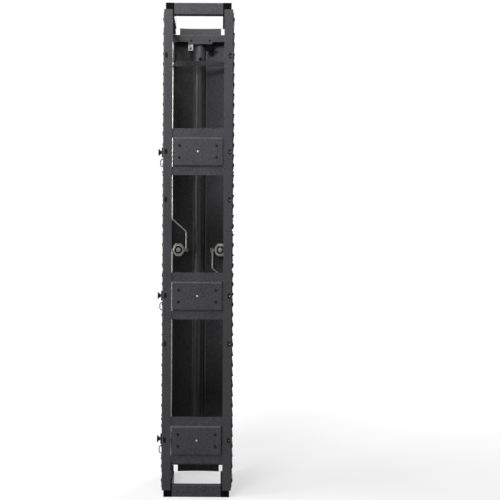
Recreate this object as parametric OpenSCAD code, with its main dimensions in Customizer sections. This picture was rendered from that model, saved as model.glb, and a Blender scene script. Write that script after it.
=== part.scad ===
// Vertical cable manager for a server rack: two rear posts tied by end frames and
// cross panels, cable fingers along both sides, and a bowed full-height door that
// is latched at its four corners by pins, rods and a turning cam on each side.
// +Z is up, +Y points to the door, the rear faces of the posts lie at Y = 0.

/* [Overall] */
// Height over the two end frames
unit_h = 2133.6; // [1950:0.1:2300]
// Width over the two rear posts
post_span = 299; // [290:1:310]
// From the rear faces of the posts to the inner edge plane of the door
door_y = 350; // [320:1:380]

/* [Posts] */
// Width of a post's rear face
post_face = 38; // [34:1:44]
// Depth of a post's outer flange
post_depth = 60; // [56:1:80]
// Width of the lip at the front of the outer flange
post_lip = 8; // [6:1:12]
// Sheet thickness of the posts
post_sheet = 2.5; // [2:0.1:2.7]
// Outer bend radius of the posts
post_bend = 3; // [2.8:0.1:4]
// Distance from the end of the unit to the end of a post
post_end_gap = 29; // [20:1:40]

/* [Levels] */
// Height of one rack unit
rack_unit = 44.45; // [44:0.01:45]
// Rack units from one cross panel to the next
panel_pitch_units = 14; // [13:0.5:15]
// The levels sit this far above their even spacing about mid height
level_lift = 8.4; // [0:0.1:12]
// Width of the fastening slot at each level
slot_w = 12; // [10:1:12]
// Height of the fastening slot
slot_h = 22; // [18:1:26]
// Post edge to the middle of the slot
slot_inset = 12; // [11.6:0.1:13]
// Bore radius of the slot nuts
nut_bore_r = 3; // [2.5:0.1:4]
// Thickness of a slot nut plate
nut_plate_t = 2; // [1.5:0.1:3]
// Margin of the nut plate above and below its slot
nut_margin = 4; // [3:1:8]

/* [End frames] */
// Height of the crossbars between the arms
crossbar_h = 51; // [40:1:58]
// Depth of the crossbars
crossbar_d = 25; // [20:1:50]
// Sheet thickness of the crossbars
crossbar_sheet = 2.5; // [2:0.1:3]
// How far the arms stand in from the posts' outer faces
arm_inset = 7.4; // [5:0.1:9]
// Width of the side arms
arm_w = 36.5; // [36:0.5:41]
// Height of the side arms
arm_h = 59; // [56:1:70]
// Wall of the side arms
arm_wall = 2.5; // [2:0.1:4]
// Front end of the side arms
arm_front_y = 180; // [150:1:220]
// Thickness of the plugs' flanges
cap_t = 2.5; // [2:0.1:4]
// Depth of the plugs in the arms
cap_plug = 12; // [8:1:20]

/* [Hinge ears] */
// Distance from the end of the unit to an ear
ear_gap = 12; // [8:1:14]
// Height of an ear
ear_h = 24; // [20:1:26]
// Width of an ear
ear_w = 25; // [22:1:26]
// Wall of an ear's hollow bar and its end plate
ear_wall = 2.5; // [2:0.1:4]
// Length of the solid block that holds the pin
ear_block = 24; // [20:1:40]

/* [Cross panels] */
// Height of a cross panel
panel_h = 202; // [180:1:220]
// Height of the raised middle
plateau_h = 114; // [100:1:130]
// Length of the raised middle
plateau_w = 210; // [200:1:216]
// How far the middle is raised
plateau_rise = 6.5; // [4:0.1:8]
// Height of the slope beside the raised middle
plateau_slope = 6.5; // [4:0.1:8]
// The raised middle sits this far above the panel's centre
plateau_lift = -1.5; // [-4:0.1:4]
// Sheet thickness of the panels
panel_sheet = 2; // [1.5:0.1:2.4]
// Depth of the panels' side flanges
panel_flange = 38; // [34:1:40]
// Spacing of the threaded inserts, side to side
insert_dx = 160; // [120:1:180]
// Spacing of the threaded inserts, up and down
insert_dz = 51; // [40:1:70]
// Bore radius of the inserts
insert_bore_r = 3; // [2.5:0.1:4]
// Radius of the inserts' barrels
insert_r = 4.5; // [4.2:0.1:6]
// Radius of the earth stud in the middle of a panel
stud_r = 4; // [3:0.1:6]
// Side screws, from the panel's centre
side_screw_dz = 86; // [70:1:88]
// Radius of the side screws' shanks
side_screw_r = 3; // [2.5:0.1:4]
// Distance of the side screws and plungers from the rear face
side_screw_y = 28; // [26:1:29]

/* [Cable fingers] */
// Thickness of the finger strips
finger_t = 3; // [2.5:0.1:4]
// Rear edge of the finger strips
finger_root_y = 20; // [14:1:22]
// Room for the turning door in front of the finger tips
finger_tip_gap = 34; // [32:1:50]
// Height of the tall fingers
tall_finger_h = 26; // [20:1:28]
// Height of the slim fingers
slim_finger_h = 12; // [10:1:18]
// How much taller a finger's head is than the finger
head_extra = 12; // [8:1:14]
// Length of a finger's head
head_len = 20; // [14:1:30]
// How far the rounded rib of a finger stands out of the strip
rib_out = 5.5; // [3:0.1:6]
// Height of the middle finger section
middle_section = 164; // [160:1:170]
// Gap between finger sections
section_gap = 8.5; // [6:0.5:12]
// End of the unit to the long finger sections
long_section_end = 101.3; // [95:0.1:110]
// End of the unit to the short finger sections
short_section_end = 36.6; // [34:0.1:40]
// Height of the short finger sections
short_section = 35; // [30:1:40]
// Distance of the strip screws from the rear face
strip_screw_y = 48; // [47:1:50]
// Radius of the strip screws' shanks
strip_screw_r = 2; // [1.5:0.1:2.5]

/* [Door] */
// Gap between a post's outer edge and the door's edge, seen from the front
door_side_gap = 4.5; // [3:0.5:6]
// Gap between the end of the unit and the door
door_end_gap = 3; // [2:0.5:6]
// How far the middle of the door bows out
door_bow = 14; // [10:1:20]
// Sheet thickness of the door
door_sheet = 1.5; // [1:0.1:2]
// Depth of the door's side flanges
door_flange = 12; // [8:1:14]
// Half width of the door at its ends, between the ears
door_neck = 98.7; // [90:0.1:105]
// Gap between an ear and the shoulder of the door
shoulder_gap = 5; // [3:0.5:8]
// Door edge to the hinge line
hinge_inset = 16; // [15.5:0.5:19]
// Hinge line to the door's inner edge plane
hinge_back = 10; // [9:0.5:12]
// Width of the stiffener's round part
stiffener_w = 54; // [40:1:66]
// Height of the stiffener over the door sheet
stiffener_out = 24; // [16:1:28]
// Width of the stiffener's feet
stiffener_foot = 7; // [5:1:12]
// End of the unit to the end of the stiffener
stiffener_end = 78; // [60:1:90]
// End of the unit to the plugs in the stiffener
plug_end = 154; // [130:1:170]
// Radius of the stiffener plugs' heads
plug_r = 6.5; // [4:0.5:8]

/* [Door end brackets] */
// Sheet thickness of the end brackets
bracket_sheet = 2.5; // [1.5:0.1:3]
// Outer bend radius between a bracket's shoulder plate and its face
bracket_bend = 5; // [4:0.5:6]
// How far the bracket's face stands behind the hinge line
bracket_back = 10; // [9:0.5:14]
// Height of the bracket's upper bar, with the shoulder
bracket_bar = 35; // [28:1:40]
// Width and drop of the middle tab
tab_w = 116; // [80:1:140]
// How far the middle tab hangs below the bar
tab_drop = 10; // [6:1:20]
// Height of the bracket's window
window_h = 95; // [80:1:110]
// Gap from the door's edges to the legs of the window
leg_inset = 22.5; // [22:0.5:35]
// Width of the bracket's legs
leg_w = 7; // [5:0.5:10]
// Height of the curved lower bar
lower_bar = 22; // [16:1:30]
// How far the curved lower bar bows towards the rear
lower_bow = 18; // [10:1:24]

/* [Latch] */
// Radius of the hinge pins
pin_r = 5; // [4:0.1:6]
// Length of the hinge pins
pin_len = 60; // [56:1:80]
// Radius of the rods
rod_r = 3.5; // [3:0.1:4]
// Cam pivot to the straight rod
throw_out = 29; // [27:0.5:32]
// Cam pivot to the cranked rod
throw_in = 37; // [34:0.5:42]
// Turn of each handle
latch_turn = 30; // [26:1:32]
// Retracted pins stop this far short of the ears
pin_clear = 2.5; // [1:0.1:3]
// The crank of a cranked rod starts this far from the cam
crank_start = 88; // [70:1:110]
// The crank ends this far from the cam
crank_end = 147; // [130:1:180]
// Thickness of the cams
cam_t = 4; // [3:0.1:5]
// Width of the cam arms
cam_arm_w = 17; // [16.5:0.1:20]
// Radius of the spindles
spindle_r = 6; // [4:0.1:7]
// Radius of the rods' hooks
hook_r = 3; // [2:0.1:3.2]
// Width of the latch housings
housing_w = 50; // [44:1:52]
// Height of the latch housings
housing_h = 60; // [50:1:70]
// Length of the handles
handle_len = 62; // [50:1:70]
// Width of the handles
handle_w = 18; // [14:1:24]
// Thickness of the handles
handle_t = 8; // [5:1:12]
// Thickness of the guide plates
guide_t = 3; // [2:0.1:5]

/* [Plungers] */
// Radius of a plunger housing
barrel_r = 8; // [7.5:0.1:9]
// Wall of a plunger housing's ends
barrel_wall = 2; // [1.5:0.1:3]
// Reach of a plunger housing inside the post, from the post's outer face
barrel_in = 21.5; // [18:0.5:24]
// Reach of a plunger housing outside the finger strip
barrel_out = 6.5; // [5:0.5:8]
// Height of a plunger's base plate
plate_h = 42; // [38:1:50]
// Thickness of a plunger's base plate
plate_t = 5; // [3:0.1:6]
// Radius of a plunger's pin
plunger_r = 3; // [2:0.1:4]
// Radius of a plunger's knob
knob_r = 15; // [12:0.5:20]
// Length of a plunger's knob
knob_len = 13; // [10:1:18]
// Travel of a plunger
plunger_travel = 8; // [4:1:10]
// Wire radius of the lashing loops
loop_wire_r = 2; // [1.5:0.1:2.5]
// Height of the lashing loops, between wire centres
loop_h = 33; // [30:1:45]
// How far the lashing loops stand out of the strip, at the wire's centre
loop_out = 10.5; // [8:0.5:14]
// Top of the lashing loops below the plunger
loop_drop = 30; // [28:1:34]

/* [Hidden] */
$fn = 48;
running = 0.05; // radial play of pins, rods and spindles in their bores
fit = 0.2; // play between fixed pieces
lift_off = 0.3; // gap between surfaces that slide past each other
cut = 1; // overshoot of cutting tools

black_coat = "#3b3b3d";
dark_coat = "#232325";
black_plastic = "#161617";
zinc = "#b9bab4";
black_screw = "#101011";

// Posts and levels
post_x = post_span / 2;
post_in_x = post_x - post_face;
flange_in_x = post_x - post_sheet;
mid_z = unit_h / 2;
level_step = panel_pitch_units * rack_unit / 3;
slot_levels = [-4, -2, -1, 1, 2, 4];
panel_levels = [-4, -1, 2];
slot_x = post_x - slot_inset;
nut_plate_w = slot_w + 2;
strip_x = post_x + finger_t;

// End frames and ears
arm_out_x = post_x - arm_inset;
arm_in_x = arm_out_x - arm_w;
arm_rear_y = post_sheet + cap_t;

// Door and hinge line
door_half = post_x - door_side_gap;
hinge_x = door_half - hinge_inset;
hinge_y = door_y - hinge_back;
bow_r = (door_half * door_half + door_bow * door_bow) / (2 * door_bow);
bow_y = door_y + door_bow - bow_r;
ear_face = mid_z - ear_gap - ear_h; // from mid height to the inner face of an ear
shoulder = ear_face - shoulder_gap; // from mid height to the outer face of a shoulder
bracket_y = hinge_y - bracket_back;
flange_x = door_half - door_sheet;
window_half = door_half - leg_inset;
window_top = shoulder - bracket_bar;
window_bottom = window_top - window_h;
finger_tip_y = door_y - finger_tip_gap;

// Latch
cam_x = hinge_x - throw_out;
turn = latch_turn * PI / 180;
cam_y = hinge_y - rod_r - 2 - cam_t;
hook_y = cam_y - 2.5;
housing_y = hinge_y + rod_r + 1.5;
escutcheon_y = door_y + door_bow + door_sheet + 0.5;
handle_y = escutcheon_y + lift_off;
slot_growth = 1 / cos(latch_turn) - 1; // how far a hook wanders out along a cam arm

function level_z(n) = mid_z + level_lift + n * level_step;
function skin_y(x) = bow_y + sqrt(bow_r * bow_r - x * x);

// ---- placing and profiles ----

// Mirrors what is drawn on the right to the left when side is negative
module on_side(side) {
    mirror([side < 0 ? 1 : 0, 0, 0]) children();
}

// Places what is drawn from mid height upwards, or mirrors it downwards
module from_middle(up) {
    translate([0, 0, mid_z]) mirror([0, 0, up < 0 ? 1 : 0]) children();
}

// Places what is drawn from the floor upwards, or mirrors it down from the top
module from_end(up) {
    translate([0, 0, up < 0 ? unit_h : 0]) mirror([0, 0, up < 0 ? 1 : 0]) children();
}

// Extrudes a Y-Z outline along X
module along_x(x, len) {
    translate([x, 0, 0]) rotate([90, 0, 90]) linear_extrude(len) children();
}

// Extrudes an X-Z outline along Y
module along_y(y, len) {
    translate([0, y + len, 0]) rotate([90, 0, 0]) linear_extrude(len) children();
}

// Round bar along X, from x to x + len
module bar_x(x, y, z, r, len) {
    translate([x, y, z]) rotate([0, 90, 0]) cylinder(r = r, h = len);
}

// Round bar along Y, from y to y + len
module bar_y(x, y, z, r, len) {
    translate([x, y, z]) rotate([-90, 0, 0]) cylinder(r = r, h = len);
}

// Round bar between two points of an X-Z plane
module bar_between(a, b, y, r) {
    d = b - a;
    translate([a[0], y, a[1]]) rotate([0, atan2(d[0], d[1]), 0]) cylinder(r = r, h = norm(d));
}

module box(low, high) {
    translate(low) cube(high - low);
}

module rect(low, high) {
    translate(low) square(high - low);
}

module round_rect(low, high, r) {
    rect([low[0] + r, low[1]], [high[0] - r, high[1]]);
    rect([low[0], low[1] + r], [high[0], high[1] - r]);
    for (x = [low[0] + r, high[0] - r], y = [low[1] + r, high[1] - r])
        translate([x, y]) circle(r);
}

// Rectangle about the origin with corners eased in three flats
module eased_rect(half_w, half_h, r) {
    corner = [for (a = [0, 30, 60, 90]) [half_w - r + r * cos(a), half_h - r + r * sin(a)]];
    back = [for (i = [3 : -1 : 0]) corner[i]];
    polygon(concat(
        corner,
        [for (c = back) [-c[0], c[1]]],
        [for (c = corner) [-c[0], -c[1]]],
        [for (c = back) [c[0], -c[1]]]
    ));
}

// Quarter of a sheet bend about the origin, in the first quadrant
module bend(r_out, sheet) {
    intersection() {
        difference() {
            circle(r_out);
            circle(r_out - sheet);
        }
        square(r_out);
    }
}

// Small fillet that fills the corner of the first quadrant
module corner_fill(r) {
    difference() {
        square(r);
        translate([r, r]) circle(r);
    }
}

// ---- rear frame ----

module post_profile() {
    rect([post_in_x, 0], [post_x - post_bend, post_sheet]);
    rect([post_x - post_sheet, post_bend], [post_x, post_depth - post_bend]);
    rect([post_x - post_lip, post_depth - post_sheet], [post_x - post_bend, post_depth]);
    translate([post_x - post_bend, post_bend]) rotate(-90) bend(post_bend, post_sheet);
    translate([post_x - post_bend, post_depth - post_bend]) bend(post_bend, post_sheet);
}

// Holes for the screws that pass sideways through strips, posts and panels
module side_screw_holes() {
    for (n = panel_levels, dz = [-1, 1])
        bar_x(post_in_x, side_screw_y, level_z(n) + dz * side_screw_dz, side_screw_r + fit, 2 * post_face);
}

module strip_screw_holes() {
    for (s = sections, z = strip_screw_z(s))
        bar_x(flange_in_x - cut, strip_screw_y, z, strip_screw_r + fit, post_face);
}

module plunger_holes() {
    for (n = panel_levels)
        bar_x(post_in_x, side_screw_y, level_z(n), barrel_r + fit, 2 * post_face);
}

module post(side) {
    color(black_coat) on_side(side) difference() {
        translate([0, 0, post_end_gap]) linear_extrude(unit_h - 2 * post_end_gap) post_profile();
        for (n = slot_levels)
            box([slot_x - slot_w / 2, -cut, level_z(n) - slot_h / 2],
                [slot_x + slot_w / 2, post_sheet + cut, level_z(n) + slot_h / 2]);
        for (up = [-1, 1]) from_end(up)
            box([post_in_x, post_depth - post_sheet - cut, 0],
                [arm_out_x + fit, post_depth + cut, arm_h + fit]);
        side_screw_holes();
        strip_screw_holes();
        if (side < 0) plunger_holes();
    }
}

// Tube with a pad welded into the post beside it
module arm(side, up) {
    color(dark_coat) on_side(side) from_end(up) {
        difference() {
            box([arm_in_x, arm_rear_y, 0], [arm_out_x, arm_front_y, arm_h]);
            box([arm_in_x + arm_wall, arm_rear_y - cut, arm_wall],
                [arm_out_x - arm_wall, arm_front_y + cut, arm_h - arm_wall]);
        }
        box([arm_out_x, post_bend, post_end_gap], [flange_in_x, strip_screw_y - 4 * strip_screw_r, arm_h]);
    }
}

module arm_end_plugs() {
    inset = arm_wall + fit;
    color(black_plastic) for (side = [-1, 1], up = [-1, 1]) on_side(side) from_end(up) {
        box([arm_in_x, post_sheet, 0], [arm_out_x, arm_rear_y, arm_h]);
        box([arm_in_x + inset, arm_rear_y, inset],
            [arm_out_x - inset, arm_rear_y + cap_plug, arm_h - inset]);
    }
}

module crossbar(up) {
    sheet = crossbar_sheet;
    r = crossbar_sheet + 1;
    rear = post_sheet;
    front = post_sheet + crossbar_d;
    color(black_coat) from_end(up) along_x(-arm_in_x, 2 * arm_in_x) {
        rect([rear, r], [rear + sheet, crossbar_h - r]);
        rect([rear + r, 0], [front, sheet]);
        rect([rear + r, crossbar_h - sheet], [front, crossbar_h]);
        translate([rear + r, r]) rotate(180) bend(r, sheet);
        translate([rear + r, crossbar_h - r]) rotate(90) bend(r, sheet);
    }
}

// End plate on the arm, a hollow bar to the front and a block bored for the hinge pin
module ear(side, up) {
    x0 = hinge_x - ear_w / 2;
    x1 = hinge_x + ear_w / 2;
    tip = hinge_y + ear_w / 2;
    z1 = ear_gap + ear_h;
    color(dark_coat) on_side(side) from_end(up) difference() {
        union() {
            box([arm_in_x, arm_front_y, 0], [arm_out_x, arm_front_y + ear_wall, arm_h]);
            box([x0, arm_front_y, ear_gap], [x1, tip - ear_w / 2, z1]);
            translate([hinge_x, hinge_y, ear_gap]) cylinder(d = ear_w, h = ear_h);
        }
        box([x0 + ear_wall, arm_front_y - cut, ear_gap + ear_wall],
            [x1 - ear_wall, tip - ear_block, z1 - ear_wall]);
        translate([hinge_x, hinge_y, 0]) cylinder(r = pin_r + running, h = arm_h);
    }
}

// ---- cross panels ----

plateau_z0 = plateau_lift - plateau_h / 2;
plateau_z1 = plateau_lift + plateau_h / 2;
panel_y = post_sheet;
plateau_y = panel_y - plateau_rise;

module panel_shell_outline() {
    half = panel_h / 2;
    polygon([
        [panel_y, -half], [panel_y + panel_sheet, -half],
        [panel_y + panel_sheet, plateau_z0 - plateau_slope], [plateau_y + panel_sheet, plateau_z0],
        [plateau_y + panel_sheet, plateau_z1], [panel_y + panel_sheet, plateau_z1 + plateau_slope],
        [panel_y + panel_sheet, half], [panel_y, half],
        [panel_y, plateau_z1 + plateau_slope], [plateau_y, plateau_z1],
        [plateau_y, plateau_z0], [panel_y, plateau_z0 - plateau_slope]
    ]);
}

module panel(level) {
    half = panel_h / 2;
    color(black_coat) difference() {
        translate([0, 0, level_z(level)]) {
            along_x(-plateau_w / 2, plateau_w) panel_shell_outline();
            for (side = [-1, 1]) on_side(side) {
                box([plateau_w / 2, panel_y, -half],
                    [post_x - post_bend, panel_y + panel_sheet, plateau_z0 - plateau_slope]);
                box([plateau_w / 2, panel_y, plateau_z1 + plateau_slope],
                    [post_x - post_bend, panel_y + panel_sheet, half]);
                box([flange_in_x - panel_sheet, post_bend, -half],
                    [flange_in_x, panel_y + panel_sheet + panel_flange, half]);
            }
        }
        translate([0, 0, level_z(level)]) insert_places()
            bar_y(0, plateau_y - cut, 0, insert_r + fit, 2 * cut + panel_sheet);
        bar_y(0, plateau_y - cut, level_z(level), stud_r / 2 + fit, 2 * cut + panel_sheet);
        for (side = [-1, 1]) on_side(side) side_screw_holes();
        on_side(-1) plunger_holes();
    }
}

module insert_places() {
    for (x = [-1, 1], z = [-1, 1]) translate([x * insert_dx / 2, 0, z * insert_dz / 2]) children();
}

// Threaded rivet inserts: a thin flange outside and a barrel behind the sheet
module panel_inserts() {
    flange_t = 0.8;
    behind = 9;
    color(black_screw) for (n = panel_levels) translate([0, 0, level_z(n)]) insert_places() difference() {
        union() {
            bar_y(0, plateau_y - flange_t, 0, insert_r + 1.5, flange_t);
            bar_y(0, plateau_y, 0, insert_r, behind);
        }
        bar_y(0, plateau_y - flange_t - cut, 0, insert_bore_r, behind + 2 * cut + flange_t);
    }
}

module panel_earth_studs() {
    head_t = 1.2;
    behind = 6;
    color(zinc) for (n = panel_levels) {
        bar_y(0, plateau_y - head_t, level_z(n), stud_r, head_t);
        bar_y(0, plateau_y, level_z(n), stud_r / 2, behind);
    }
}

// Button-head screws through strip, post and panel flange, with a nut inside
module side_screw(x_out, y, z, r, reach) {
    head_r = 1.8 * r;
    head_t = 1.1 * r;
    bar_x(x_out, y, z, head_r, head_t);
    bar_x(x_out - reach, y, z, r, reach);
    bar_x(x_out - reach, y, z, head_r, head_t);
}

module panel_side_screws() {
    reach = finger_t + post_sheet + panel_sheet + 1.1 * side_screw_r;
    color(black_screw) for (side = [-1, 1], n = panel_levels, dz = [-1, 1]) on_side(side)
        side_screw(strip_x, side_screw_y, level_z(n) + dz * side_screw_dz, side_screw_r, reach);
}

module post_slot_nuts() {
    barrel = 6;
    plate = [nut_plate_w / 2, slot_h / 2 + nut_margin];
    color(black_screw) for (side = [-1, 1], n = slot_levels) on_side(side)
        translate([slot_x, post_sheet, level_z(n)]) difference() {
            union() {
                box([-plate[0], 0, -plate[1]], [plate[0], nut_plate_t, plate[1]]);
                bar_y(0, 0, 0, nut_bore_r + 2, nut_plate_t + barrel);
            }
            bar_y(0, -cut, 0, nut_bore_r, nut_plate_t + barrel + 2 * cut);
        }
}

// ---- cable fingers ----

// Finger sections as [lower end, upper end]
long_low = long_section_end;
long_high = mid_z - middle_section / 2 - section_gap;
sections = [
    [short_section_end, short_section_end + short_section],
    [long_low, long_high],
    [mid_z - middle_section / 2, mid_z + middle_section / 2],
    [unit_h - long_high, unit_h - long_low],
    [unit_h - short_section_end - short_section, unit_h - short_section_end]
];

function finger_count(s) = floor((s[1] - s[0] - tall_finger_h) / rack_unit + 1);
function finger_z(s, i) = (s[0] + s[1]) / 2 + (i - (finger_count(s) - 1) / 2) * rack_unit;
function finger_h(i) = i % 2 == 0 ? tall_finger_h : slim_finger_h;
function last_step(s, i) = i + 1 >= finger_count(s) ? rack_unit : 0;
function strip_screw_z(s) = s[1] - s[0] < 2 * rack_unit
    ? [(s[0] + s[1]) / 2]
    : [for (i = [0 : 4 : finger_count(s) - 1]) finger_z(s, i) + rack_unit / 2 - last_step(s, i)];

module finger_outline(s) {
    rect([finger_root_y, s[0]], [post_depth, s[1]]);
    for (i = [0 : finger_count(s) - 1]) {
        z = finger_z(s, i);
        half = finger_h(i) / 2;
        head = half + head_extra / 2;
        rect([post_depth - cut, z - half], [finger_tip_y - head_len / 2, z + half]);
        translate([finger_tip_y - head_len / 2, z]) eased_rect(head_len / 2, head, 5);
    }
}

// Rounded rib on the outside of a finger, a flat slice of a round bar
module finger_rib(z, finger_half) {
    half = finger_half - 0.7;
    r = (half * half + rib_out * rib_out) / (2 * rib_out);
    rib_len = finger_tip_y - head_len / 2 - post_depth;
    translate([0, post_depth, z]) intersection() {
        bar_y(strip_x + rib_out - r, 0, 0, r, rib_len);
        box([strip_x - 0.3, -cut, -2 * half], [strip_x + rib_out + cut, rib_len + cut, 2 * half]);
    }
}

module fingers(side, section) {
    s = sections[section];
    color(black_plastic) on_side(side) difference() {
        union() {
            along_x(post_x, finger_t) finger_outline(s);
            for (i = [0 : finger_count(s) - 1]) finger_rib(finger_z(s, i), finger_h(i) / 2);
        }
        side_screw_holes();
        strip_screw_holes();
        if (side < 0) plunger_holes();
    }
}

module finger_strip_screws() {
    reach = finger_t + post_sheet + 1.1 * strip_screw_r;
    color(black_screw) for (side = [-1, 1], s = sections, z = strip_screw_z(s)) on_side(side)
        side_screw(strip_x, strip_screw_y, z, strip_screw_r, reach);
}

// ---- plungers and lashing loops on the left side ----

barrel_x0 = post_x - barrel_in;
barrel_x1 = strip_x + barrel_out;
collar_r = barrel_r - barrel_wall - 0.4;
collar_t = 3;

module plunger_housings() {
    plate_w = 2 * barrel_r + 10;
    len = barrel_x1 - barrel_x0;
    color(black_coat) for (n = panel_levels) on_side(-1) translate([0, side_screw_y, level_z(n)])
        difference() {
            union() {
                along_x(strip_x, plate_t)
                    round_rect([-plate_w / 2, -plate_h / 2], [plate_w / 2, plate_h / 2], 5);
                bar_x(barrel_x0, 0, 0, barrel_r, len);
            }
            bar_x(barrel_x0 + barrel_wall, 0, 0, barrel_r - barrel_wall, len - 2 * barrel_wall);
            bar_x(barrel_x0 - cut, 0, 0, plunger_r + running, len + 2 * cut);
        }
}

// Spool-shaped knob on a collared pin; the collar holds the spring inside the housing
module plunger(level) {
    knob_x = barrel_x1 + lift_off;
    pin_x0 = barrel_x0 - plunger_travel + 1;
    neck_r = 0.45 * knob_r;
    color(black_plastic) on_side(-1) translate([0, side_screw_y, level_z(level)]) {
        bar_x(pin_x0, 0, 0, plunger_r, knob_x + 1 - pin_x0);
        bar_x(barrel_x0 + barrel_wall + lift_off, 0, 0, collar_r, collar_t);
        translate([knob_x, 0, 0]) rotate([0, 90, 0]) rotate_extrude() polygon([
            [0, 0], [neck_r, 0], [neck_r, 0.15 * knob_len], [0.6 * knob_r, 0.4 * knob_len],
            [knob_r, 0.75 * knob_len], [knob_r, knob_len - 1], [knob_r - 1, knob_len], [0, knob_len]
        ]);
    }
}

module lashing_loop() {
    bend_r = loop_out - 1;
    half = loop_h / 2;
    for (up = [-1, 1]) mirror([0, 0, up < 0 ? 1 : 0]) {
        bar_x(0, 0, half, loop_wire_r, loop_out - bend_r);
        translate([loop_out - bend_r, 0, half - bend_r]) rotate([90, 0, 0])
            rotate_extrude(angle = 90) translate([bend_r, 0]) circle(loop_wire_r);
    }
    translate([loop_out, 0, -half + bend_r]) cylinder(r = loop_wire_r, h = loop_h - 2 * bend_r);
}

module lashing_loops() {
    color(black_coat) for (n = panel_levels) on_side(-1)
        translate([strip_x, side_screw_y, level_z(n) - loop_drop - loop_h / 2]) lashing_loop();
}

// ---- door ----

// The region behind the door sheet's inner face, widened by extra
module inside_bow(extra) {
    translate([0, bow_y]) circle(bow_r + extra, $fn = 720);
}

module bowed_sheet(half, gap, sheet) {
    intersection() {
        difference() {
            inside_bow(gap + sheet);
            inside_bow(gap);
        }
        rect([-half, door_y - stiffener_out], [half, door_y + 2 * door_bow]);
    }
}

module door_skin() {
    height = unit_h - 2 * door_end_gap;
    color(black_coat) difference() {
        union() {
            translate([0, 0, door_end_gap]) linear_extrude(height) bowed_sheet(door_neck, 0, door_sheet);
            translate([0, 0, mid_z - shoulder]) linear_extrude(2 * shoulder) {
                bowed_sheet(door_half, 0, door_sheet);
                for (side = [-1, 1]) mirror([side < 0 ? 1 : 0, 0])
                    rect([flange_x, door_y - door_flange], [door_half, skin_y(flange_x) + fit]);
            }
        }
        for (side = [-1, 1]) bar_y(side * cam_x, door_y, mid_z, spindle_r + 2, 3 * door_bow);
    }
}

module door_stiffener() {
    r = (stiffener_w * stiffener_w / 4 + stiffener_out * stiffener_out) / (2 * stiffener_out);
    top_y = skin_y(0) - stiffener_out;
    base_y = skin_y(stiffener_w / 2);
    color(black_coat) difference() {
        translate([0, 0, stiffener_end]) linear_extrude(unit_h - 2 * stiffener_end)
            stiffener_profile(top_y, base_y, r);
        for (up = [-1, 1]) from_end(up)
            bar_y(0, top_y - cut, plug_end, plug_r / 2 + fit, 3 * cut + door_sheet);
    }
}

module stiffener_profile(top_y, base_y, r) {
    intersection() {
        translate([0, top_y + r]) difference() {
            circle(r, $fn = 96);
            circle(r - door_sheet, $fn = 96);
        }
        rect([-stiffener_w, 0], [stiffener_w, base_y - fit]);
    }
    difference() {
        bowed_sheet(stiffener_w / 2 + stiffener_foot, -door_sheet - fit, door_sheet);
        rect([-stiffener_w / 2 + door_sheet, 0], [stiffener_w / 2 - door_sheet, 2 * door_y]);
    }
}

module stiffener_plugs() {
    head_t = 3;
    top_y = skin_y(0) - stiffener_out;
    color(black_plastic) for (up = [-1, 1]) from_end(up) {
        bar_y(0, top_y - head_t, plug_end, plug_r, head_t);
        bar_y(0, top_y - head_t, plug_end, plug_r / 2, head_t + 8);
    }
}

// Shoulder plate with the pin bores, a face with a window and a curved lower bar
module door_bracket(up) {
    leg_x = window_half + leg_w;
    lower_z = window_bottom - lower_bar;
    arc_r = (leg_x * leg_x + lower_bow * lower_bow) / (2 * lower_bow);
    arc_y = bracket_y + bracket_sheet - lower_bow + arc_r;
    color(black_coat) from_middle(up) difference() {
        union() {
            translate([0, 0, shoulder - bracket_sheet]) linear_extrude(bracket_sheet) intersection() {
                inside_bow(-fit);
                rect([-flange_x, bracket_y + bracket_bend], [flange_x, 2 * door_y]);
            }
            along_x(-flange_x, 2 * flange_x) translate([bracket_y + bracket_bend, shoulder - bracket_bend])
                rotate(90) bend(bracket_bend, bracket_sheet);
            along_y(bracket_y, bracket_sheet) {
                rect([-flange_x, window_top], [flange_x, shoulder - bracket_bend]);
                rect([-tab_w / 2, window_top - tab_drop], [tab_w / 2, window_top]);
                for (side = [-1, 1]) mirror([side < 0 ? 1 : 0, 0]) {
                    rect([window_half, lower_z], [leg_x, window_top]);
                    translate([window_half, window_top]) rotate(180) corner_fill(8);
                    translate([window_half, window_bottom]) rotate(90) corner_fill(8);
                }
            }
            translate([0, 0, lower_z]) linear_extrude(lower_bar) intersection() {
                translate([0, arc_y]) difference() {
                    circle(arc_r, $fn = 360);
                    circle(arc_r - bracket_sheet, $fn = 360);
                }
                rect([-leg_x, 0], [leg_x, bracket_y + bracket_sheet]);
            }
            for (side = [-1, 1]) on_side(side)
                box([window_half, bracket_y, lower_z], [flange_x, door_y - cut, lower_z + guide_t]);
        }
        for (side = [-1, 1]) {
            translate([side * hinge_x, hinge_y, shoulder - bracket_sheet - cut])
                cylinder(r = pin_r + running, h = bracket_sheet + 2 * cut);
            translate([side * hinge_x, hinge_y, lower_z - cut])
                cylinder(r = rod_r + running, h = guide_t + 2 * cut);
            bar_y(side * bracket_screw_x, bracket_y - cut, bracket_screw_z, bracket_screw_r + fit,
                  bracket_sheet + 2 * cut);
        }
    }
}

bracket_screw_x = 43.4;
bracket_screw_z = window_top + 7;
bracket_screw_r = 2.5;

module door_bracket_screws() {
    head_r = 2 * bracket_screw_r;
    head_t = bracket_screw_r;
    color(black_screw) for (side = [-1, 1], up = [-1, 1]) from_middle(up) {
        bar_y(side * bracket_screw_x, bracket_y - head_t, bracket_screw_z, head_r, head_t);
        bar_y(side * bracket_screw_x, bracket_y, bracket_screw_z, bracket_screw_r, bracket_sheet + 6);
        bar_y(side * bracket_screw_x, bracket_y + bracket_sheet, bracket_screw_z, head_r, head_t);
    }
}

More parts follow.
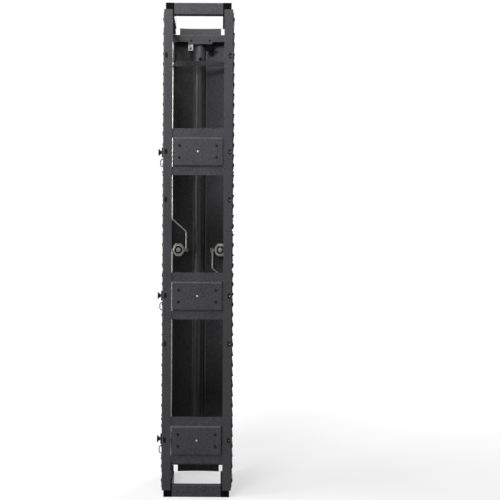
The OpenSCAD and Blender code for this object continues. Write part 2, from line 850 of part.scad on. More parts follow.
// Bored plates that keep the rods in line, behind the upper and middle panels
guide_levels = [2, -1];
module rod_guides() {
    color(zinc) for (side = [-1, 1], n = guide_levels) on_side(side) translate([0, 0, level_z(n)])
        difference() {
            box([hinge_x - 2.5 * rod_r, hinge_y - 2 * rod_r, -guide_t / 2],
                [flange_x, door_y - 2, guide_t / 2]);
            translate([hinge_x, hinge_y, -guide_t]) cylinder(r = rod_r + running, h = 2 * guide_t);
        }
}

module housing_outline() {
    w = housing_w / 2;
    h = housing_h / 2;
    polygon([
        [-w, -h / 2], [-w / 2, -h], [w / 2, -h], [w, -h / 2],
        [w, h / 2], [w / 2, h], [-w / 2, h], [-w, h / 2]
    ]);
}

module latch_housing(side) {
    color(zinc) difference() {
        intersection() {
            translate([side * cam_x, 0, mid_z]) along_y(housing_y, 4 * door_bow) housing_outline();
            translate([0, 0, mid_z - housing_h]) linear_extrude(2 * housing_h) inside_bow(-fit);
        }
        bar_y(side * cam_x, housing_y - cut, mid_z, spindle_r + running, 5 * door_bow);
    }
}

module handle_escutcheons() {
    ring_r = spindle_r + 16;
    color(black_plastic) for (side = [-1, 1]) difference() {
        bar_y(side * cam_x, door_y, mid_z, ring_r, escutcheon_y - door_y);
        bar_y(side * cam_x, door_y - cut, mid_z, spindle_r + 2, escutcheon_y - door_y + 2 * cut);
        translate([0, 0, mid_z - 2 * ring_r]) linear_extrude(4 * ring_r) inside_bow(door_sheet + fit);
    }
}

// Bent metal tab for an earth wire, behind the middle tab of the top bracket
module earth_tab() {
    w = 24;
    drop = 34;
    z1 = window_top - tab_drop + 8;
    x0 = -tab_w / 2;
    color(zinc) from_middle(1) difference() {
        union() {
            box([x0, bracket_y + bracket_sheet, z1 - drop - 8], [x0 + w, bracket_y + 2 * bracket_sheet, z1]);
            box([x0, bracket_y - 8, z1 - drop - 8], [x0 + w, bracket_y + bracket_sheet, z1 - drop - 6]);
        }
        bar_y(x0 + w / 2, bracket_y, z1 - drop + 6, 4, 3 * bracket_sheet);
    }
}

// Moulded stop behind the right half of the middle tab
module door_bumper() {
    z1 = window_top - tab_drop + 8;
    y0 = bracket_y + bracket_sheet;
    color(black_plastic) from_middle(1) {
        along_y(y0, 9) round_rect([tab_w / 4, z1 - 40], [tab_w / 2, z1], 4);
        along_y(y0, 5) rect([tab_w / 2 - 1, z1 - 28], [tab_w / 2 + 14, z1 - 16]);
    }
}

// ---- latch ----

// A slot in a cam arm, long enough for the hook's straight travel
module hook_slot(throw) {
    room = hook_r + 0.5;
    side_room = room + throw * (turn - atan(turn) * PI / 180);
    round_rect([throw - room, -side_room], [throw * sqrt(1 + turn * turn) + room, side_room], hook_r);
}

function arm_reach(throw) = throw * sqrt(1 + turn * turn) + hook_r + 3.2;

module cam_outline() {
    half = cam_arm_w / 2;
    difference() {
        union() {
            circle(r = 20, $fn = 6);
            round_rect([0, -half], [arm_reach(throw_out), half], 4);
            round_rect([-arm_reach(throw_in), -half], [0, half], 4);
        }
        hook_slot(throw_out);
        mirror([1, 0]) hook_slot(throw_in);
    }
}

module cam(side) {
    hub_r = spindle_r + 5;
    color(zinc) turned(side) difference() {
        union() {
            along_y(cam_y, cam_t) cam_outline();
            bar_y(0, cam_y, 0, hub_r, housing_y - lift_off - cam_y);
        }
        bar_y(0, cam_y - cut, 0, spindle_r + 0.02, 2 * door_bow);
    }
}

// Places a latch piece at the right pivot, or turned half round at the left one
module turned(side) {
    translate([side * cam_x, 0, mid_z]) rotate([0, side < 0 ? 180 : 0, 0]) children();
}

module cam_nut(side) {
    washer_t = 1.5;
    nut_t = 5;
    color(zinc) turned(side) difference() {
        union() {
            bar_y(0, cam_y - washer_t, 0, spindle_r + 5, washer_t);
            translate([0, cam_y - washer_t, 0]) rotate([90, 0, 0]) cylinder(r = 9.5, h = nut_t, $fn = 6);
        }
        bar_y(0, cam_y - washer_t - nut_t - cut, 0, spindle_r - 1 + 0.02, 2 * nut_t + washer_t);
    }
}

// Spindle, boss and lever in front of the door; the lever hangs down when latched
module handle(side) {
    boss_r = 14;
    rest_turn = side < 0 ? latch_turn : 0;
    color(black_plastic) translate([side * cam_x, 0, mid_z]) {
        bar_y(0, cam_y, 0, spindle_r, handle_y - cam_y + 1);
        bar_y(0, cam_y - 8, 0, spindle_r - 1, 9);
        bar_y(0, handle_y, 0, boss_r, handle_t);
        rotate([0, rest_turn, 0]) along_y(handle_y + 2, handle_t)
            round_rect([-handle_w / 2, -handle_len], [handle_w / 2, handle_w / 2], 8);
    }
}

function travel(throw) = throw * turn;
function tip_z(throw, latched) = ear_face - pin_clear + (latched ? travel(throw) : 0);

module hinge_pin(tip) {
    chamfer = 1.5;
    translate([hinge_x, hinge_y, tip - pin_len]) cylinder(r = pin_r, h = pin_len - chamfer);
    translate([hinge_x, hinge_y, tip - chamfer]) cylinder(r1 = pin_r, r2 = pin_r - chamfer, h = chamfer);
}

module hook(x) {
    bar_y(x, hook_y, 0, hook_r, hinge_y - hook_y);
    translate([x, hinge_y, 0]) sphere(rod_r + 0.15);
}

// Straight rod on the outer arm of the cam, drawn upwards on the right
module straight_rod(side, up, latched) {
    tip = tip_z(throw_out, latched);
    color(zinc) on_side(side) from_middle(up) {
        hook(hinge_x);
        bar_between([hinge_x, 0], [hinge_x, tip - pin_len + 1], hinge_y, rod_r);
        hinge_pin(tip);
    }
}

// Cranked rod on the inner arm of the cam, with a ferrule at the cam end
module cranked_rod(side, up, latched) {
    tip = tip_z(throw_in, latched);
    inner_x = cam_x - throw_in;
    path = [[inner_x, 0], [inner_x, crank_start], [hinge_x, crank_end], [hinge_x, tip - pin_len + 1]];
    color(zinc) on_side(side) from_middle(up) {
        hook(inner_x);
        for (i = [0 : 2]) bar_between(path[i], path[i + 1], hinge_y, rod_r);
        for (i = [1, 2]) translate([path[i][0], hinge_y, path[i][1]]) sphere(rod_r + 0.15);
        translate([inner_x, hinge_y, 6]) cylinder(r1 = rod_r + 1.8, r2 = rod_r, h = 30);
        hinge_pin(tip);
    }
}

post(-1);  // left_post
post(1);  // right_post
arm(-1, -1);  // left_top_arm
arm(1, -1);  // right_top_arm
arm(-1, 1);  // left_bottom_arm
arm(1, 1);  // right_bottom_arm
crossbar(-1);  // top_crossbar
crossbar(1);  // bottom_crossbar
arm_end_plugs();
ear(-1, -1);  // left_top_ear
ear(1, -1);  // right_top_ear
ear(-1, 1);  // left_bottom_ear
ear(1, 1);  // right_bottom_ear
panel(2);  // upper_panel
panel(-1);  // middle_panel
panel(-4);  // lower_panel
panel_inserts();
panel_earth_studs();
panel_side_screws();
post_slot_nuts();
fingers(-1, 4);  // left_top_short_fingers
fingers(-1, 3);  // left_upper_fingers
fingers(-1, 2);  // left_middle_fingers
fingers(-1, 1);  // left_lower_fingers
fingers(-1, 0);  // left_bottom_short_fingers
fingers(1, 4);  // right_top_short_fingers
fingers(1, 3);  // right_upper_fingers
fingers(1, 2);  // right_middle_fingers
fingers(1, 1);  // right_lower_fingers
fingers(1, 0);  // right_bottom_short_fingers
finger_strip_screws();
plunger_housings();
plunger(2);  // upper_plunger
plunger(-1);  // middle_plunger
plunger(-4);  // lower_plunger
lashing_loops();
door_skin();
door_stiffener();
stiffener_plugs();
door_bracket(1);  // door_top_bracket
door_bracket(-1);  // door_bottom_bracket
door_bracket_screws();
rod_guides();
latch_housing(-1);  // left_latch_housing
latch_housing(1);  // right_latch_housing
handle_escutcheons();
earth_tab();
door_bumper();
cam(-1);  // left_cam
cam_nut(-1);  // left_cam_nut
handle(-1);  // left_handle
cam(1);  // right_cam
cam_nut(1);  // right_cam_nut
handle(1);  // right_handle
cranked_rod(-1, 1, false);  // left_upper_rod
straight_rod(-1, -1, false);  // left_lower_rod
straight_rod(1, 1, true);  // right_upper_rod
cranked_rod(1, -1, true);  // right_lower_rod
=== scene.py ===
# Vertical cable manager: black powder-coated steel frame, nylon cable fingers,
# a bowed door and its zinc-plated latch gear, stood on a white studio floor.
import math

import bmesh
import bpy
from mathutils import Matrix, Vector


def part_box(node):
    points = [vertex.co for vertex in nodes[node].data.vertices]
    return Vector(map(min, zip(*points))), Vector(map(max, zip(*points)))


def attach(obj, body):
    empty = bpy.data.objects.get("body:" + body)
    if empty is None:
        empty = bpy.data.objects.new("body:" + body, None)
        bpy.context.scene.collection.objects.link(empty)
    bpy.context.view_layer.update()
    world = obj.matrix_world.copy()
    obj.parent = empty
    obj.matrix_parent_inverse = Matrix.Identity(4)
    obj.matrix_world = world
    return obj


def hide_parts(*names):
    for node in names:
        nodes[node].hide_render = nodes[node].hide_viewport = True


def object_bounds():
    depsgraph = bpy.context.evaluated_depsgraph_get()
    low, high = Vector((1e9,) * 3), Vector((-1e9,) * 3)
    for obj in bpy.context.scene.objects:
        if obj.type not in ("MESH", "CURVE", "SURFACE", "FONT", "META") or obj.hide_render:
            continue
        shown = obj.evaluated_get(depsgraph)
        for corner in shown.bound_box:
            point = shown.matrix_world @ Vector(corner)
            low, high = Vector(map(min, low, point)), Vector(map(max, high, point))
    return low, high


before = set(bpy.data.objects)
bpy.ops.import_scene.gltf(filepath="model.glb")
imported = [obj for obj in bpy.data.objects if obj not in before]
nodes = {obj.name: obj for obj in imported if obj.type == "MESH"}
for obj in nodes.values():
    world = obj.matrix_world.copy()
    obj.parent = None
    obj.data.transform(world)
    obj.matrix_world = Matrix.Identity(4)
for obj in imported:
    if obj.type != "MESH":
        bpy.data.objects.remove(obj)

cadLow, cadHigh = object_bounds()
scene = bpy.context.scene
mm = 0.001
print("frame loaded:", len(nodes), "nodes")


# ---- node helpers ----

def linear(hexColour):
    # sRGB hex to linear RGBA
    channels = [int(hexColour[i:i + 2], 16) / 255 for i in (1, 3, 5)]
    return tuple(c / 12.92 if c <= 0.04045 else ((c + 0.055) / 1.055) ** 2.4 for c in channels) + (1.0,)


def addNode(tree, kind, inputs=None, links=None, **settings):
    # one node, with its settings, socket values and incoming links
    node = tree.nodes.new(kind)
    for name, value in settings.items():
        setattr(node, name, value)
    for name, value in (inputs or {}).items():
        node.inputs[name].default_value = value
    for name, source in (links or {}).items():
        tree.links.new(source, node.inputs[name])
    return node


def startMaterial(name):
    # a bare shader, with the mesh's own coordinates in metres to place patterns by
    material = bpy.data.materials.new(name)
    material.use_nodes = True
    tree = material.node_tree
    tree.nodes.clear()
    shader = addNode(tree, "ShaderNodeBsdfPrincipled")
    addNode(tree, "ShaderNodeOutputMaterial", links={"Surface": shader.outputs["BSDF"]})
    place = addNode(tree, "ShaderNodeTexCoord").outputs["Object"]
    return material, tree, shader, place


def noiseOf(tree, place, size, detail=2.0, roughness=0.5):
    # soft noise whose blobs are about the given size in metres
    return addNode(tree, "ShaderNodeTexNoise", {"Scale": 1 / size, "Detail": detail, "Roughness": roughness},
                   {"Vector": place}).outputs["Fac"]


def spread(tree, source, low, high, toLow, toHigh):
    # stretches the part of a pattern between low and high over the range from toLow to toHigh
    return addNode(tree, "ShaderNodeMapRange",
                   {"From Min": low, "From Max": high, "To Min": toLow, "To Max": toHigh},
                   {"Value": source}).outputs["Result"]


def tint(tree, factor, first, second):
    # mixes two colours; sockets 6, 7 and 2 are the mix node's colour inputs and output
    return addNode(tree, "ShaderNodeMix", {6: first, 7: second}, {0: factor}, data_type="RGBA").outputs[2]


def bumpOf(tree, height, depth):
    return addNode(tree, "ShaderNodeBump", {"Distance": depth, "Strength": 1.0},
                   {"Height": height}).outputs["Normal"]


# ---- materials ----

# Polyester powder coat with a fine wrinkle: dull, with a broad soft sheen and
# a painted highlight: a lighter speckle in the colour where each tiny crest would catch the light.
powderCoat = {
    "base": "#38383a", "crestGlint": "#464648", "worn": "#313133",
    "wrinkle": 2.6 * mm,  # real wrinkle is about 0.6 mm, drawn coarser so that it shows
    "speckle": 5.0 * mm,
    "cloud": 140 * mm,  # slow change in film thickness
    "wrinkleDepth": 0.22 * mm,
    "roughness": (0.47, 0.6),
    "sheen": 0.14,  # specular level, of which 0.5 is a plain gloss
    "ior": 1.5,
}


def makePowderCoat(name, spec):
    material, tree, shader, place = startMaterial(name)
    wrinkle = noiseOf(tree, place, spec["wrinkle"], 3.0, 0.6)
    speckle = noiseOf(tree, place, spec["speckle"], 2.0)
    cloud = noiseOf(tree, place, spec["cloud"], 2.0)
    # painted highlight: the speckle mixes in the lighter crest colour, standing for lit wrinkle crests
    paintedGlints = spread(tree, speckle, 0.42, 0.68, 0.0, 1.0)
    body = tint(tree, spread(tree, cloud, 0.35, 0.65, 0.0, 1.0), linear(spec["worn"]), linear(spec["base"]))
    colour = addNode(tree, "ShaderNodeMix", {7: linear(spec["crestGlint"])}, {0: paintedGlints, 6: body},
                     data_type="RGBA").outputs[2]
    tree.links.new(colour, shader.inputs["Base Color"])
    tree.links.new(spread(tree, wrinkle, 0.3, 0.7, *spec["roughness"]), shader.inputs["Roughness"])
    tree.links.new(bumpOf(tree, wrinkle, spec["wrinkleDepth"]), shader.inputs["Normal"])
    shader.inputs["IOR"].default_value = spec["ior"]
    shader.inputs["Specular IOR Level"].default_value = spec["sheen"]
    return material


texturedPowderCoat = makePowderCoat("texturedBlackPowderCoat", powderCoat)

# The arms and ears have a smoother, darker coat, with less of the painted highlight speckle
smoothCoat = dict(powderCoat, base="#252527", crestGlint="#2b2b2d", worn="#202022",
                  wrinkleDepth=0.08 * mm, roughness=(0.38, 0.46), sheen=0.2)
satinPowderCoat = makePowderCoat("satinBlackPowderCoat", smoothCoat)

# The channel down the door is rubbed smooth: a soft band of light runs along it
rubbedCoat = dict(powderCoat, wrinkleDepth=0.06 * mm, roughness=(0.34, 0.42), sheen=0.34)
rubbedPowderCoat = makePowderCoat("rubbedBlackPowderCoat", rubbedCoat)

# Injection-moulded nylon: spark-eroded mould grain, soft highlight, faint flow marks
nylon = {
    "base": "#1e1e1f", "flow": "#262627",
    "grain": 1.6 * mm,  # real grain is about 0.3 mm, drawn coarser so that it shows
    "flowLength": 45 * mm,
    "grainDepth": 0.09 * mm,
    "roughness": (0.42, 0.56),
    "sheen": 0.14,
    "ior": 1.53,
}


def makeNylon(name, spec):
    material, tree, shader, place = startMaterial(name)
    grain = noiseOf(tree, place, spec["grain"], 2.0)
    flow = noiseOf(tree, place, spec["flowLength"], 3.0, 0.55)
    tree.links.new(tint(tree, spread(tree, flow, 0.35, 0.7, 0.0, 1.0), linear(spec["base"]), linear(spec["flow"])),
                   shader.inputs["Base Color"])
    tree.links.new(spread(tree, flow, 0.3, 0.7, *spec["roughness"]), shader.inputs["Roughness"])
    tree.links.new(bumpOf(tree, grain, spec["grainDepth"]), shader.inputs["Normal"])
    shader.inputs["IOR"].default_value = spec["ior"]
    shader.inputs["Specular IOR Level"].default_value = spec["sheen"]
    return material


mouldedNylon = makeNylon("mouldedBlackNylon", nylon)

# The plugs are a softer grade: near black, almost without shine
softGrade = dict(nylon, base="#08080a", flow="#0d0d0e", roughness=(0.6, 0.7), sheen=0.02)
softNylon = makeNylon("dullBlackNylon", softGrade)

# Bright zinc plate over drawn and stamped steel: hazy grey mirror, spangled by handling
zinc = {
    "bright": "#bfbeb8", "dull": "#8f908d",
    "patch": 14 * mm, "drawLine": 1.2 * mm,
    "lineDepth": 0.05 * mm,
    "roughness": (0.3, 0.46),
}


def makeZinc(name, spec):
    material, tree, shader, place = startMaterial(name)
    patch = noiseOf(tree, place, spec["patch"], 4.0, 0.6)
    lines = noiseOf(tree, place, spec["drawLine"], 2.0)
    tree.links.new(tint(tree, spread(tree, patch, 0.35, 0.7, 0.0, 1.0), linear(spec["bright"]), linear(spec["dull"])),
                   shader.inputs["Base Color"])
    tree.links.new(spread(tree, patch, 0.3, 0.7, *spec["roughness"]), shader.inputs["Roughness"])
    tree.links.new(bumpOf(tree, lines, spec["lineDepth"]), shader.inputs["Normal"])
    shader.inputs["Metallic"].default_value = 1.0
    return material


zincPlate = makeZinc("zincPlatedSteel", zinc)

# Zinc plate on the cams and the earth tab: a darker, greyer and less glossy copy of the zinc colours
greyedZinc = dict(zinc, bright="#8c8c88", dull="#5c5d5b", roughness=(0.36, 0.52))
dullZinc = makeZinc("greyedZincPlate", greyedZinc)

# Black oxide on cold-headed screws: a thin dark film with a little of the metal in it
oxide = {
    "deep": "#0f0f10", "rubbed": "#222223",
    "patch": 4 * mm,
    "roughness": (0.42, 0.6),
    "metal": 0.15,  # how much of the steel shows through the film
    "sheen": 0.15,
}


def makeOxide(name, spec):
    material, tree, shader, place = startMaterial(name)
    patch = noiseOf(tree, place, spec["patch"], 3.0)
    tree.links.new(tint(tree, spread(tree, patch, 0.4, 0.75, 0.0, 1.0), linear(spec["deep"]), linear(spec["rubbed"])),
                   shader.inputs["Base Color"])
    tree.links.new(spread(tree, patch, 0.3, 0.7, *spec["roughness"]), shader.inputs["Roughness"])
    shader.inputs["Metallic"].default_value = spec["metal"]
    shader.inputs["Specular IOR Level"].default_value = spec["sheen"]
    return material


blackOxide = makeOxide("blackOxideSteel", oxide)


knobAndPin = {"pinRoughness": 0.32, "knobRoughness": 0.45}


def makeKnobAndPin(name, axisIndex, edge, plasticAbove):
    # one piece of two stuffs: nylon knob or lever on a zinc-plated pin, changing at edge along an axis
    material, tree, shader, place = startMaterial(name)
    parts = addNode(tree, "ShaderNodeSeparateXYZ", links={0: place})
    isPlastic = addNode(tree, "ShaderNodeMath", {1: edge}, {0: parts.outputs[axisIndex]},
                        operation="GREATER_THAN").outputs[0]
    if not plasticAbove:
        isPlastic = addNode(tree, "ShaderNodeMath", {0: 1.0}, {1: isPlastic}, operation="SUBTRACT").outputs[0]
    grain = noiseOf(tree, place, nylon["grain"], 2.0)
    flow = noiseOf(tree, place, nylon["flowLength"], 3.0)
    patch = noiseOf(tree, place, zinc["patch"], 4.0)
    plastic = tint(tree, flow, linear(nylon["base"]), linear(nylon["flow"]))
    steel = tint(tree, patch, linear(zinc["bright"]), linear(zinc["dull"]))
    colour = addNode(tree, "ShaderNodeMix", None, {0: isPlastic, 6: steel, 7: plastic}, data_type="RGBA")
    tree.links.new(colour.outputs[2], shader.inputs["Base Color"])
    tree.links.new(spread(tree, isPlastic, 0.0, 1.0, 1.0, 0.0), shader.inputs["Metallic"])
    tree.links.new(spread(tree, isPlastic, 0.0, 1.0, knobAndPin["pinRoughness"], knobAndPin["knobRoughness"]),
                   shader.inputs["Roughness"])
    tree.links.new(bumpOf(tree, grain, nylon["grainDepth"]), shader.inputs["Normal"])
    return material


print("materials made")


# ---- dressing the frame's own solids ----

def wear(name, material):
    slots = nodes[name].data.materials
    slots.clear()
    slots.append(material)


easing = {"weld": 0.01 * mm, "flatAngle": 0.5, "edgeAngle": 32, "segments": 2}


def easeEdges(name, width):
    # joins the solid's faces, rounds the edges that catch the light, and keeps flats flat
    node = nodes[name]
    node.modifiers.new("weld", "WELD").merge_threshold = easing["weld"]
    flats = node.modifiers.new("flatFaces", "DECIMATE")
    flats.decimate_type = "DISSOLVE"
    flats.angle_limit = math.radians(easing["flatAngle"])
    if width:
        bevel = node.modifiers.new("easedEdges", "BEVEL")
        bevel.width = width
        bevel.segments = easing["segments"]
        bevel.limit_method = "ANGLE"
        bevel.angle_limit = math.radians(easing["edgeAngle"])
        bevel.use_clamp_overlap = False
    node.modifiers.new("faceNormals", "WEIGHTED_NORMAL").keep_sharp = True


# Each node with the radius of its eased edges in millimetres
sheetNodes = {
    "left_post": 0.7, "right_post": 0.7,
    "top_crossbar": 0.7, "bottom_crossbar": 0.7,
    "upper_panel": 0.6, "middle_panel": 0.6, "lower_panel": 0.6,
    "door_skin": 0.5,
    "door_top_bracket": 0.6, "door_bottom_bracket": 0.6,
    "plunger_housings": 0.5, "lashing_loops": 0,
}
channelNodes = {"door_stiffener": 0.5}
barNodes = {
    "left_top_arm": 0.9, "right_top_arm": 0.9, "left_bottom_arm": 0.9, "right_bottom_arm": 0.9,
    "left_top_ear": 0.9, "right_top_ear": 0.9, "left_bottom_ear": 0.9, "right_bottom_ear": 0.9,
}
nylonNodes = {name: 0.6 for name in nodes if name.endswith("_fingers")}
nylonNodes["handle_escutcheons"] = 0.6
plugNodes = {"arm_end_plugs": 1.0, "door_bumper": 1.0, "stiffener_plugs": 0.8}
zincNodes = {
    "rod_guides": 0.4, "left_latch_housing": 0.9, "right_latch_housing": 0.9,
    "left_cam_nut": 0.5, "right_cam_nut": 0.5,
    "left_upper_rod": 0, "left_lower_rod": 0, "right_upper_rod": 0, "right_lower_rod": 0,
}
greyedNodes = {"left_cam": 0.5, "right_cam": 0.5, "earth_tab": 0.4}
oxideNodes = {"post_slot_nuts": 0.3, "panel_inserts": 0.2}

dressed = (
    (sheetNodes, texturedPowderCoat), (channelNodes, rubbedPowderCoat), (barNodes, satinPowderCoat),
    (nylonNodes, mouldedNylon), (plugNodes, softNylon),
    (zincNodes, zincPlate), (greyedNodes, dullZinc), (oxideNodes, blackOxide),
)
for group, material in dressed:
    for name, edge in group.items():
        wear(name, material)
        easeEdges(name, edge * mm)

# The fasteners get more detailed stand-ins below
for name in ("panel_side_screws", "finger_strip_screws", "door_bracket_screws"):
    wear(name, blackOxide)
wear("panel_earth_studs", zincPlate)

plungers = {"nodes": ("upper_plunger", "middle_plunger", "lower_plunger"), "knobLength": 13 * mm, "edge": 0.5 * mm}
for name in plungers["nodes"]:
    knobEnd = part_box(name)[0].x + plungers["knobLength"]
    wear(name, makeKnobAndPin(name + "KnobAndPin", 0, knobEnd, False))
    easeEdges(name, plungers["edge"])

handles = {"nodes": ("left_handle", "right_handle"), "leverDepth": 17 * mm, "edge": 0.8 * mm}
for name in handles["nodes"]:
    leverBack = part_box(name)[1].y - handles["leverDepth"]
    wear(name, makeKnobAndPin(name + "LeverAndSpindle", 1, leverBack, True))
    easeEdges(name, handles["edge"])
print("solids dressed")


# ---- fasteners ----

def islands(name):
    # lowest and highest corners of a node's separate solids
    grid = 1e5  # corners that agree to a hundredth of a millimetre are one
    mesh = nodes[name].data
    keyOf, parent = [], {}

    def root(key):
        while parent[key] != key:
            parent[key] = parent[parent[key]]
            key = parent[key]
        return key

    for vertex in mesh.vertices:
        key = tuple(round(c * grid) for c in vertex.co)
        keyOf.append(key)
        parent.setdefault(key, key)
    for edge in mesh.edges:
        parent[root(keyOf[edge.vertices[0]])] = root(keyOf[edge.vertices[1]])
    boxes = {}
    for vertex in mesh.vertices:
        low, high = boxes.setdefault(root(keyOf[vertex.index]), (vertex.co.copy(), vertex.co.copy()))
        for i in range(3):
            low[i] = min(low[i], vertex.co[i])
            high[i] = max(high[i], vertex.co[i])
    return sorted(boxes.values(), key=lambda box: tuple(box[0]))


turns = 24  # points round a turned piece, a multiple of the hexagon's six


def ringPoints(radius, hexed):
    # round ring, or one that follows a hexagon of this half width
    points = []
    for i in range(turns):
        angle = 2 * math.pi * i / turns
        reach = radius / math.cos((angle % (math.pi / 3)) - math.pi / 6) if hexed else radius
        points.append((reach * math.cos(angle), reach * math.sin(angle)))
    return points


def turned(bm, base, axis, profile):
    # closed solid through rings of (radius, height, hexed) along an axis from base
    axis = Vector(axis).normalized()
    side = axis.cross(Vector((0, 0, 1)) if abs(axis.z) < 0.9 else Vector((1, 0, 0))).normalized()
    up = axis.cross(side)
    rings = []
    for radius, height, hexed in profile:
        rings.append([bm.verts.new(Vector(base) + axis * height + side * a + up * b)
                      for a, b in ringPoints(radius, hexed)])
    for first, second in zip(rings, rings[1:]):
        for i in range(turns):
            j = (i + 1) % turns
            bm.faces.new((first[i], first[j], second[j], second[i]))
    bm.faces.new(list(reversed(rings[0])))
    bm.faces.new(rings[-1])


def inMetres(profile):
    return [(radius * mm, height * mm, hexed) for radius, height, hexed in profile]


def buttonHead(radius, height, socket):
    # domed head with a hexagon socket
    return [
        (radius, 0, False), (radius, 0.18 * height, False), (0.96 * radius, 0.4 * height, False),
        (0.86 * radius, 0.68 * height, False), (0.72 * radius, 0.88 * height, False),
        (0.6 * radius, height, False), (socket, height, True), (0.96 * socket, 0.45 * height, True),
    ]


sharpAngle = 35


def finishMesh(name, bm, material, body):
    bmesh.ops.recalc_face_normals(bm, faces=bm.faces)
    mesh = bpy.data.meshes.new(name)
    bm.to_mesh(mesh)
    bm.free()
    mesh.shade_smooth()
    mesh.set_sharp_from_angle(angle=math.radians(sharpAngle))
    mesh.materials.append(material)
    piece = bpy.data.objects.new(name, mesh)
    scene.collection.objects.link(piece)
    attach(piece, body)
    return piece


# Button-head screws through the posts, each with a hexagon nut at its inner end; sizes are radii
screws = {
    "panel_side_screws": {
        "piece": "sideScrews", "head": 5.4 * mm, "rise": 3.2 * mm, "shank": 3 * mm, "socket": 1.75 * mm,
    },
    "finger_strip_screws": {
        "piece": "stripScrews", "head": 3.6 * mm, "rise": 2.1 * mm, "shank": 2 * mm, "socket": 1.15 * mm,
    },
}
nutShare = {"width": 0.86, "thickness": 0.96}  # of the head's radius and rise
for nodeName, spec in screws.items():
    nut = nutShare["width"] * spec["head"]
    thick = nutShare["thickness"] * spec["rise"]
    bm = bmesh.new()
    for low, high in islands(nodeName):
        out = 1 if high.x > 0 else -1
        tip = high.x if out > 0 else low.x
        inner = low.x if out > 0 else high.x
        y, z = (low.y + high.y) / 2, (low.z + high.z) / 2
        seat = tip - out * spec["rise"]
        turned(bm, (seat, y, z), (out, 0, 0), buttonHead(spec["head"], spec["rise"], spec["socket"]))
        grip = abs(seat - inner)
        turned(bm, (inner, y, z), (out, 0, 0),
               [(0.85 * spec["shank"], 0, False), (spec["shank"], 0.1 * grip, False), (spec["shank"], grip, False)])
        turned(bm, (inner, y, z), (out, 0, 0),
               [(0.92 * nut, 0, False), (nut, 0.14 * thick, True), (nut, thick, True)])
    piece = finishMesh(spec["piece"], bm, blackOxide, "frame")
    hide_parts(nodeName)

# Screws that hold the rods' bracket to the door, each through a plate with a nut behind it
bracketScrews = {
    "head": 5 * mm, "rise": 2.5 * mm, "shank": 2.5 * mm, "socket": 1.6 * mm,
    "chamfer": 0.6 * mm, "tip": 0.8,  # the tip's radius is this share of the shank's
    "plate": 2.5 * mm,
    "nut": [(4.2, 0, True), (4.2, 2.1, True), (3.9, 2.5, False)],  # radius and height in mm, and hexagonal or not
}
bm = bmesh.new()
for low, high in islands("door_bracket_screws"):
    x, z = (low.x + high.x) / 2, (low.z + high.z) / 2
    seat = low.y + bracketScrews["rise"]
    shank = bracketScrews["shank"]
    length = high.y - seat
    turned(bm, (x, seat, z), (0, -1, 0),
           buttonHead(bracketScrews["head"], bracketScrews["rise"], bracketScrews["socket"]))
    turned(bm, (x, seat, z), (0, 1, 0),
           [(shank, 0, False), (shank, length - bracketScrews["chamfer"], False),
            (bracketScrews["tip"] * shank, length, False)])
    turned(bm, (x, seat + bracketScrews["plate"], z), (0, 1, 0), inMetres(bracketScrews["nut"]))
piece = finishMesh("bracketScrews", bm, blackOxide, "door")
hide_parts("door_bracket_screws")

# Domed bright rivets at the middle of the panels, each with a set tail behind
rivets = {
    "rise": 1.2 * mm,
    "dome": [(4.0, 0, False), (3.9, 0.35, False), (3.3, 0.8, False),
             (2.2, 1.1, False), (1.1, 1.2, False), (0.9, 0.6, False)],  # radius and height in mm
    "shank": 2 * mm, "tail": 2.6 * mm, "end": 1.8 * mm,  # radii
    "tailStart": 1 * mm, "tailBulge": 0.5 * mm,  # before the end
}
bm = bmesh.new()
for low, high in islands("panel_earth_studs"):
    x, z = (low.x + high.x) / 2, (low.z + high.z) / 2
    seat = low.y + rivets["rise"]
    length = high.y - seat
    turned(bm, (x, seat, z), (0, -1, 0), inMetres(rivets["dome"]))
    turned(bm, (x, seat, z), (0, 1, 0),
           [(rivets["shank"], 0, False), (rivets["shank"], length - rivets["tailStart"], False),
            (rivets["tail"], length - rivets["tailBulge"], False), (rivets["end"], length, False)])
piece = finishMesh("centreRivets", bm, zincPlate, "frame")
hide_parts("panel_earth_studs")

# Bright rim round the dark face of each cam, whose hexagon nut stands up in the middle
camDish = {
    "profile": [(22.0, -0.1, False), (23.0, 0.5, False), (23.0, 2.4, False), (22.2, 3.0, False),
                (19.6, 3.0, False), (18.8, 2.4, False), (18.4, 0.9, False), (12.6, 0.9, False),
                (12.2, 0.5, False)],  # radius and height in mm
    "darkUnder": 0.95 * mm,  # what faces the eye lower than this is the dark bottom
}
for side in ("left", "right"):
    nutLow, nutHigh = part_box(side + "_cam_nut")
    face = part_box(side + "_cam")[0].y
    bm = bmesh.new()
    pivot = ((nutLow.x + nutHigh.x) / 2, face, (nutLow.z + nutHigh.z) / 2)
    turned(bm, pivot, (0, -1, 0), inMetres(camDish["profile"]))
    piece = finishMesh(side + "CamDish", bm, zincPlate, side + "_latch")
    piece.data.materials.append(blackOxide)
    for polygon in piece.data.polygons:
        rise = face - polygon.center.y
        if polygon.normal.y < -0.5 and 0 < rise < camDish["darkUnder"]:
            polygon.material_index = 1
print("fasteners made")


# ---- floor, light and camera ----

studio = {
    "ambient": 0.13,
    "floorHalf": 30.0, "floorDrop": 0.2 * mm,
    # Glow near the object and far off, where the lamps no longer reach: with the lit
    # paper it reads white, and a little grey in the object's shadow
    "floorGlow": (0.56, 1.0), "glowReach": (1.0, 5.0),
    "seenPaper": "#8c8c8c", "bouncingPaper": "#b8b8b8",  # what the eye sees, and what lights the object from below
    "lamps": {
        # name: place, aim, size, watts
        "topLeftKey": ((-0.9, -1.9, 3.6), (0.0, 0.1, 2.3), 1.2, 92),
        "leftSide": ((-3.0, -0.35, 2.3), (0.0, 0.3, 1.4), 2.8, 165),
        "overhead": ((-0.4, -0.7, 4.6), (0.0, 0.1, 1.6), 1.6, 60),
        "doorKey": ((1.9, 3.2, 3.4), (0.0, 0.3, 1.2), 1.8, 110),
        "doorFill": ((-2.2, 2.8, 1.6), (0.0, 0.3, 1.0), 2.0, 40),
    },
}


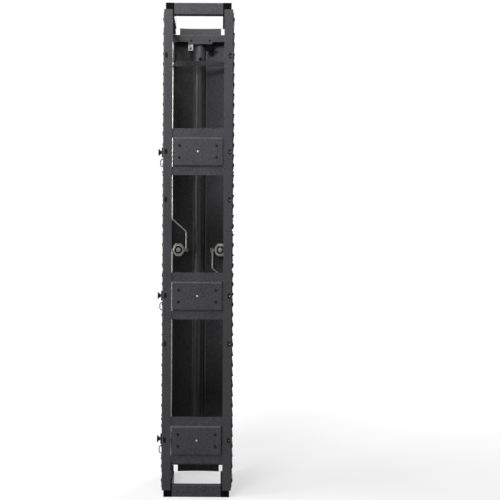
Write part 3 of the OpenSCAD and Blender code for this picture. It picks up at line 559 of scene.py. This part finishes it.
def seenRays(tree):
    # 1 where the eye looks, straight, in a shiny metal or through glass; 0 for light that falls on things
    rays = addNode(tree, "ShaderNodeLightPath").outputs
    direct = addNode(tree, "ShaderNodeMath", None, {0: rays["Is Camera Ray"], 1: rays["Is Glossy Ray"]},
                     operation="MAXIMUM").outputs[0]
    return addNode(tree, "ShaderNodeMath", None, {0: direct, 1: rays["Is Transmission Ray"]},
                   operation="MAXIMUM").outputs[0]


def makeFloor():
    # white sweep: plain white to the eye, with a soft shadow left on it
    bm = bmesh.new()
    half = studio["floorHalf"]
    corners = [(-half, -half), (half, -half), (half, half), (-half, half)]
    bm.faces.new([bm.verts.new((x, y, cadLow.z - studio["floorDrop"])) for x, y in corners])
    mesh = bpy.data.meshes.new("studioFloor")
    bm.to_mesh(mesh)
    bm.free()
    material = bpy.data.materials.new("matteWhiteSweep")
    material.use_nodes = True
    tree = material.node_tree
    tree.nodes.clear()
    bouncing = addNode(tree, "ShaderNodeBsdfDiffuse", {"Color": linear(studio["bouncingPaper"])}).outputs["BSDF"]
    place = addNode(tree, "ShaderNodeTexCoord").outputs["Object"]
    away = addNode(tree, "ShaderNodeVectorMath", None, {0: place}, operation="LENGTH").outputs["Value"]
    glow = addNode(tree, "ShaderNodeEmission", {"Color": (1, 1, 1, 1)},
                   {"Strength": spread(tree, away, *studio["glowReach"], *studio["floorGlow"])})
    paper = addNode(tree, "ShaderNodeBsdfDiffuse", {"Color": linear(studio["seenPaper"])}).outputs["BSDF"]
    seen = addNode(tree, "ShaderNodeAddShader", None, {0: paper, 1: glow.outputs["Emission"]}).outputs[0]
    mixed = addNode(tree, "ShaderNodeMixShader", None, {0: seenRays(tree), 1: bouncing, 2: seen}).outputs[0]
    addNode(tree, "ShaderNodeOutputMaterial", links={"Surface": mixed})
    mesh.materials.append(material)
    floor = bpy.data.objects.new("studioFloor", mesh)
    scene.collection.objects.link(floor)


def makeWorld():
    world = bpy.data.worlds.new("studioAir")
    world.use_nodes = True
    tree = world.node_tree
    tree.nodes.clear()
    ambient = addNode(tree, "ShaderNodeBackground", {"Color": (0.97, 0.98, 1.0, 1), "Strength": studio["ambient"]})
    white = addNode(tree, "ShaderNodeBackground", {"Color": (1, 1, 1, 1), "Strength": 1.0})
    mixed = addNode(tree, "ShaderNodeMixShader", None,
                    {0: seenRays(tree), 1: ambient.outputs[0], 2: white.outputs[0]})
    addNode(tree, "ShaderNodeOutputWorld", links={"Surface": mixed.outputs[0]})
    scene.world = world


def makeLamps():
    for name, (place, aim, size, watts) in studio["lamps"].items():
        lamp = bpy.data.lights.new(name, "AREA")
        lamp.shape = "DISK"
        lamp.size = size
        lamp.energy = watts
        holder = bpy.data.objects.new(name, lamp)
        holder.location = place
        holder.rotation_euler = (Vector(aim) - Vector(place)).to_track_quat("-Z", "Y").to_euler()
        scene.collection.objects.link(holder)


camera = {
    "distance": 3.129, "aside": 0.082, "height": 1.0668,  # metres, from the middle of the posts' rear faces
    "sensor": 36.0, "lens": 52.26, "shift": 0.067, "far": 100.0,
    "roll": -0.3,  # degrees
}


def makeCamera():
    data = bpy.data.cameras.new("studioCamera")
    data.sensor_width = camera["sensor"]
    data.lens = camera["lens"]
    data.shift_x = camera["shift"]
    data.clip_end = camera["far"]
    holder = bpy.data.objects.new("studioCamera", data)
    holder.location = (camera["aside"], -camera["distance"], camera["height"])
    holder.rotation_euler = (math.radians(90), math.radians(camera["roll"]), 0)
    scene.collection.objects.link(holder)
    scene.camera = holder


makeFloor()
makeWorld()
makeLamps()
makeCamera()
scene.view_settings.view_transform = "Standard"
print("studio set")
